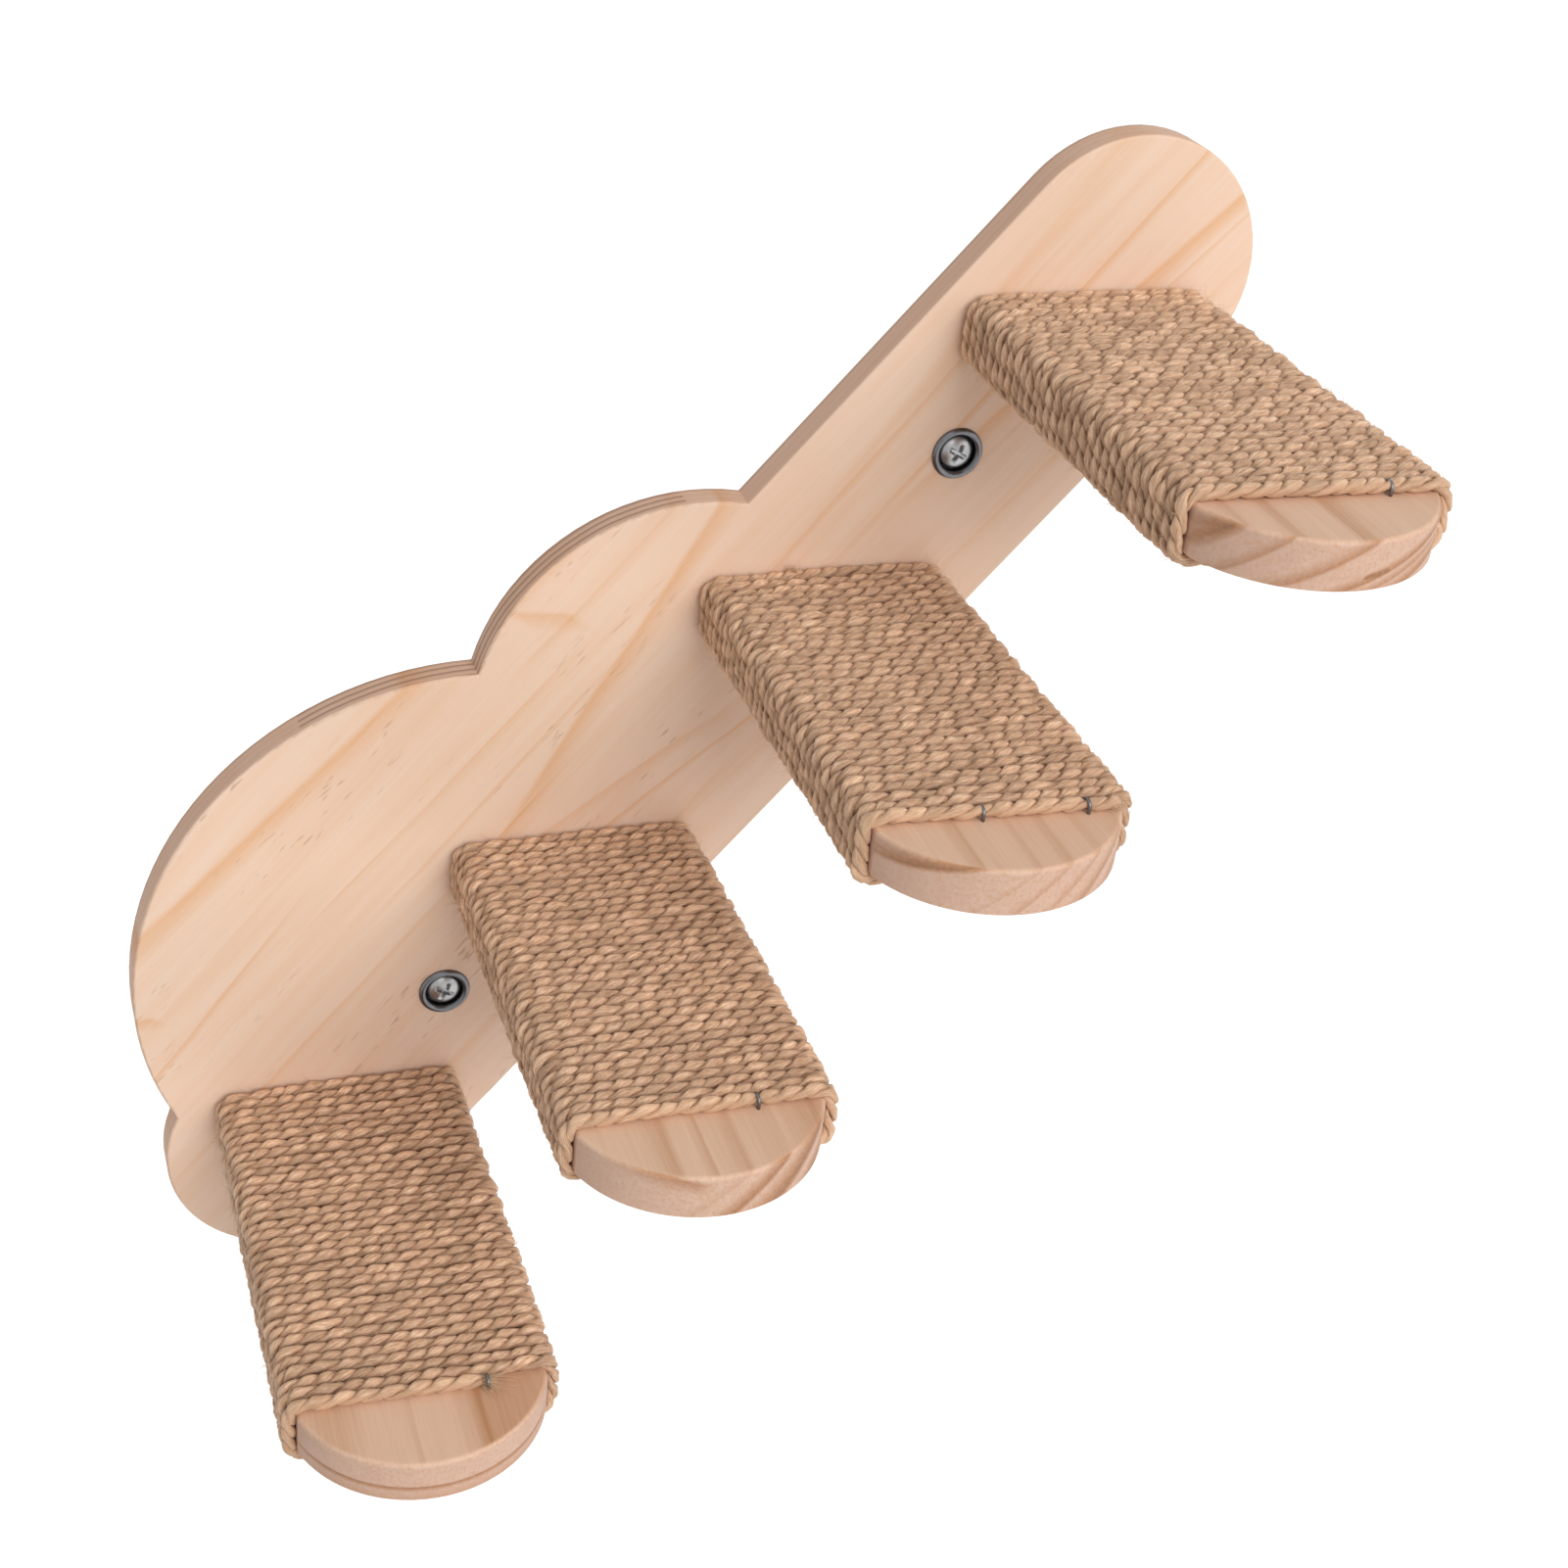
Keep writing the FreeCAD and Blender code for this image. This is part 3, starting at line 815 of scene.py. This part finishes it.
def islands(node):
    """Points of each separate solid in a node."""
    work = bmesh.new()
    work.from_mesh(node.data)
    bmesh.ops.remove_doubles(work, verts=work.verts, dist=1e-6)
    found = []
    left = set(work.verts)
    while left:
        front = [left.pop()]
        island = set(front)
        while front:
            for edge in front.pop().link_edges:
                for vert in edge.verts:
                    if vert in left:
                        left.discard(vert)
                        island.add(vert)
                        front.append(vert)
        found.append(np.array([vert.co for vert in island]))
    work.free()
    return found


def staple_spots(number):
    """Where each CAD staple holds the dressed rope's line."""
    winding = windings[number]
    centre = winding.centre
    spots = []
    for island in islands(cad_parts[f"rope_staples_{number}"]):
        x = (island[:, 0].min() + island[:, 0].max()) / 2
        if island[:, 2].mean() > centre.z:
            y = turn_place(number, rope_turns[number] - 1, x - centre.x)
            spots.append((x, y, centre.z + winding.half_height))
        else:
            spots.append((x, winding.first, centre.z - winding.half_height))
    return sorted(spots)


staple_places = {number: staple_spots(number) for number in step_numbers}


def staple_piece(number, material):
    """Bent wire staples that press into the rope where the CAD staples are."""
    centre = windings[number].centre
    height = windings[number].half_height
    crown = height + rope_radius * (1.0 - staple_pinch)
    half_wire = [
        (-staple_reach, height - 1.5 * rope_radius),
        (-staple_reach, height - 0.4 * rope_radius),
        (-staple_reach, height),
        (-0.85 * staple_reach, crown - 0.3 * rope_radius),
        (-0.5 * staple_reach, crown - 0.05 * rope_radius),
    ]
    wire = half_wire + [(0.0, crown)] + [(-across, z) for across, z in reversed(half_wire)]
    tubes = []
    for x, y, level in staple_places[number]:
        over = math.copysign(1.0, level - centre.z)
        points = [(x, y + across, centre.z + over * z) for across, z in wire]
        tubes.append(tube_along(points, staple_wire / 2))
    mesh = grid_mesh(f"staples_{number}", np.array(tubes))
    new_piece(f"staples_{number}", mesh, material, [f"rope_staples_{number}"])


def lathe(profile, sides=72):
    """Rings about Y from (radius, y) points."""
    angles = ring_angles(sides)
    rings = [np.stack([r * np.cos(angles), np.full(sides, y), r * np.sin(angles)], 1) for r, y in profile]
    return np.array(rings)


def rounded(corner, before, after, radius, count=5):
    """Points that replace a profile's corner by a small round."""
    c, a, b = (np.array(p, float) for p in (corner, before, after))
    start = c + (a - c) / np.linalg.norm(a - c) * radius
    end = c + (b - c) / np.linalg.norm(b - c) * radius
    shares = np.linspace(0.0, 1.0, count)
    return [tuple((1 - t) ** 2 * start + 2 * t * (1 - t) * c + t ** 2 * end) for t in shares]


def washer_piece(name, material):
    """Rolled ring that dips into a cup round the screw's head."""
    low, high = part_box(f"cup_washer_{name}")
    centre = (low + high) / 2
    outer = (high.x - low.x) / 2
    depth = high.y - low.y
    body = outer * cup_body
    inner = outer * cup_inner
    hole = outer * cup_hole
    face = low.y + depth * cup_face
    floor = high.y - depth * cup_floor
    floor_edge = (inner * 0.96, floor)
    crest = (outer + inner) / 2
    profile = [(body, face), (body, high.y), (hole, high.y), (hole, floor), floor_edge]
    profile += rounded((inner, floor), floor_edge, (inner, face), outer * cup_corner)
    for angle in np.linspace(math.pi, 0.0, 15):
        roll = (crest + (outer - crest) * math.cos(angle), face + (low.y - face) * math.sin(angle))
        profile.append(roll)
    profile.append((body, face))
    rings = lathe(profile)[None] + np.array([centre.x, 0.0, centre.z])
    mesh = grid_mesh(f"washer_{name}", rings, closed_ends=False)
    turn_out(mesh)
    new_piece(f"washer_{name}", mesh, material, [f"cup_washer_{name}"])


def cross_share(x, z, head):
    """How deep a screw's cross recess is at a point of its head, as a share of the full depth."""
    def arm(across, along):
        flank = np.clip((recess_half_width * head - np.abs(across)) / (recess_flank * head), 0.0, 1.0)
        end = np.clip((recess_reach * head - np.abs(along)) / (recess_run_out * head), 0.0, 1.0)
        return flank * end
    return np.maximum(arm(x, z), arm(z, x))


def screw_head_rings(front, seat, head, neck):
    """Pan head with a domed front and a cross recess, and the plain neck behind it."""
    height = seat - front
    tilts = np.linspace(*dome_angles, 44)
    dome = height * dome_height / (1 - math.cos(dome_angles[1]))
    profile = [(head * math.sin(tilt), front + dome * (1 - math.cos(tilt))) for tilt in tilts]
    profile += [(head, seat - height * rim_height), (head, seat), (neck, seat), (neck, seat + neck_length)]
    rings = lathe(profile, 120)
    x, z = rings[:, :, 0], rings[:, :, 2]
    turned_x = x * math.cos(recess_turn) - z * math.sin(recess_turn)
    turned_z = x * math.sin(recess_turn) + z * math.cos(recess_turn)
    sunk = cross_share(turned_x, turned_z, head) * recess_depth * head
    rings[:len(tilts), :, 1] += sunk[:len(tilts)]
    return rings


def thread_mesh(core, outer, start, tip, sides=28):
    """Shank whose radius swells along a helix and runs out to a point."""
    rows = np.linspace(start, tip, 150)[:, None]
    angles = ring_angles(sides)[None, :]
    phase = (rows / thread_pitch - angles / (2 * math.pi)) % 1.0
    crest = np.clip(1.0 - np.abs(phase - 0.5) / thread_flank, 0.0, 1.0)
    taper = np.clip((tip - rows) / tip_length, tip_bluntness, 1.0)
    begin = np.clip((rows - start - thread_lap) / thread_run_in, 0.0, 1.0)
    root = core * thread_root
    radius = (root + (outer - root) * crest * begin) * taper
    heights = np.broadcast_to(rows, radius.shape)
    rings = np.stack([radius * np.cos(angles), heights, radius * np.sin(angles)], 2)
    return grid_mesh("thread", rings[None])


def wall_screw_piece(name, material):
    """Pan-head screw with a cross recess and a cut thread."""
    low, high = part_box(f"wall_screw_{name}")
    centre = (low + high) / 2
    head = (high.x - low.x) / 2
    seat = low.y + head * head_height
    neck = head * neck_radius
    mesh = grid_mesh(f"wall_screw_{name}", screw_head_rings(low.y, seat, head, neck)[None])
    work = bmesh.new()
    work.from_mesh(mesh)
    work.from_mesh(thread_mesh(neck, head * thread_radius, seat + neck_length - thread_lap, high.y))
    bmesh.ops.translate(work, verts=work.verts, vec=(centre.x, 0.0, centre.z))
    bmesh.ops.recalc_face_normals(work, faces=work.faces)
    work.to_mesh(mesh)
    work.free()
    mesh.set_sharp_from_angle(angle=math.radians(40))
    new_piece(f"wall_screw_{name}", mesh, material, [f"wall_screw_{name}"])


# carried-over nodes
def paint(name, material):
    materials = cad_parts[name].data.materials
    materials.clear()
    materials.append(material)


def dress_board():
    """Pine on the CAD board, with the streaks and flames that the photograph shows."""
    up_slope = (math.cos(slope), 0.0, math.sin(slope))
    over_slope = (-math.sin(slope), 0.0, math.cos(slope))
    lines = []
    for u, v, lean, width, strength, reach in board_streaks:
        lines.append(((u, v), (-lean, 1.0), width, strength, strength, reach))
    for u, v, u_share, v_share, width, strength, reach in board_flames:
        lines.append(((u, v), (u_share, v_share), width, strength, strength, reach))
    axes = (up_slope, over_slope, (0, 1, 0))
    paint("back_board", pine("board_pine", axes, (0, 0, 0), 0.0, lines, board_tones, board_bands, True))


def dress_step(number):
    """Pine on a CAD step board, whose streaks run through from its top to its round end."""
    winding = windings[number]
    top = winding.half_height - rope_radius
    lines = []
    for x, share, x_share, z_share, *rest in step_streaks[number]:
        lines.append(((x, share * top), (x_share, -z_share), *rest))
    axes = ((0, 1, 0), (1, 0, 0), (0, 0, 1))
    centre = tuple(winding.centre)
    seed = step_seed * number
    material = pine(f"step_pine_{number}", axes, centre, seed, lines, step_tones, step_bands, False)
    paint(f"step_board_{number}", material)


def dress():
    """Dresses every piece of the part."""
    dress_board()
    rope = jute()
    fibre = loose_jute()
    staple_steel = steel("staple_steel", (0.20, 0.20, 0.21), 0.30, 0.50, 0.2)
    screw_steel = steel("screw_steel", (0.40, 0.40, 0.405), 0.28, 0.45, 0.25)
    washer_steel = steel("washer_steel", (0.17, 0.17, 0.18), 0.25, 0.42, 0.15)
    for number in step_numbers:
        dress_step(number)
        path = rope_piece(number, rope)
        fuzz_piece(number, path, fibre)
        staple_piece(number, staple_steel)
        paint(f"step_screws_{number}", screw_steel)
    for name in screw_names:
        washer_piece(name, washer_steel)
        wall_screw_piece(name, screw_steel)


# floor, light and camera
def white_floor():
    """Pale floor that is white to the camera apart from the shadow it keeps."""
    s = Shader("floor")
    s.give("Base Color", s.ramp(s.noise(s.place(), 8.0, 2.0), ((0.3, grey(0.90)), (0.7, grey(0.93)))))
    s.give("Roughness", 0.9)
    plain = s.surface.outputs[0]
    glow = s.node("ShaderNodeEmission", {"Color": (1, 1, 1, 1), "Strength": floor_glow}).outputs[0]
    both = s.node("ShaderNodeAddShader", {0: plain, 1: glow}).outputs[0]
    pick = s.node("ShaderNodeMixShader", {0: s.seen_directly(), 1: plain, 2: both}).outputs[0]
    s.put(s.tree.nodes["Material Output"].inputs["Surface"], pick)
    level = cad_box[0][2] - floor_drop
    corners = [(x * floor_reach, y * floor_reach, level) for x, y in ((-1, -1), (1, -1), (1, 1), (-1, 1))]
    mesh = bpy.data.meshes.new("floor")
    mesh.from_pydata(corners, [], [(0, 1, 2, 3)])
    mesh.materials.append(s.material)
    floor = bpy.data.objects.new("floor", mesh)
    bpy.context.scene.collection.objects.link(floor)


def white_world():
    """Even light from all round, white where it is seen directly."""
    world = bpy.data.worlds.new("studio")
    bpy.context.scene.world = world
    world.use_nodes = True
    s = Nodes(world.node_tree)
    back = s.tree.nodes["Background"].inputs
    s.put(back["Color"], (1, 1, 1, 1))
    s.put(back["Strength"], s.span(s.seen_directly(), 0.0, 1.0, world_light, 1.0))


def area_light(name, place, size, power):
    """Soft round lamp that faces the part."""
    data = bpy.data.lights.new(name, "AREA")
    data.shape = "DISK"
    data.size = size
    data.energy = power
    lamp = bpy.data.objects.new(name, data)
    lamp.location = place
    lamp.rotation_euler = (Vector(light_aim) - Vector(place)).to_track_quat("-Z", "Y").to_euler()
    bpy.context.scene.collection.objects.link(lamp)


def camera():
    """Camera at the photograph's place, with its slight roll."""
    data = bpy.data.cameras.new("camera")
    data.lens = camera_lens
    data.sensor_width = camera_sensor
    data.clip_start = camera_nearest
    holder = bpy.data.objects.new("camera", data)
    turn = Matrix.Rotation(-camera_yaw, 4, "Z") @ Matrix.Rotation(math.pi / 2 - camera_pitch, 4, "X")
    holder.matrix_world = Matrix.Translation(camera_place) @ turn @ Matrix.Rotation(camera_roll, 4, "Z")
    bpy.context.scene.collection.objects.link(holder)
    bpy.context.scene.camera = holder


dress()
white_floor()
white_world()
for light_name, light in lights.items():
    area_light(light_name, *light)
camera()
bpy.context.scene.view_settings.view_transform = "Standard"
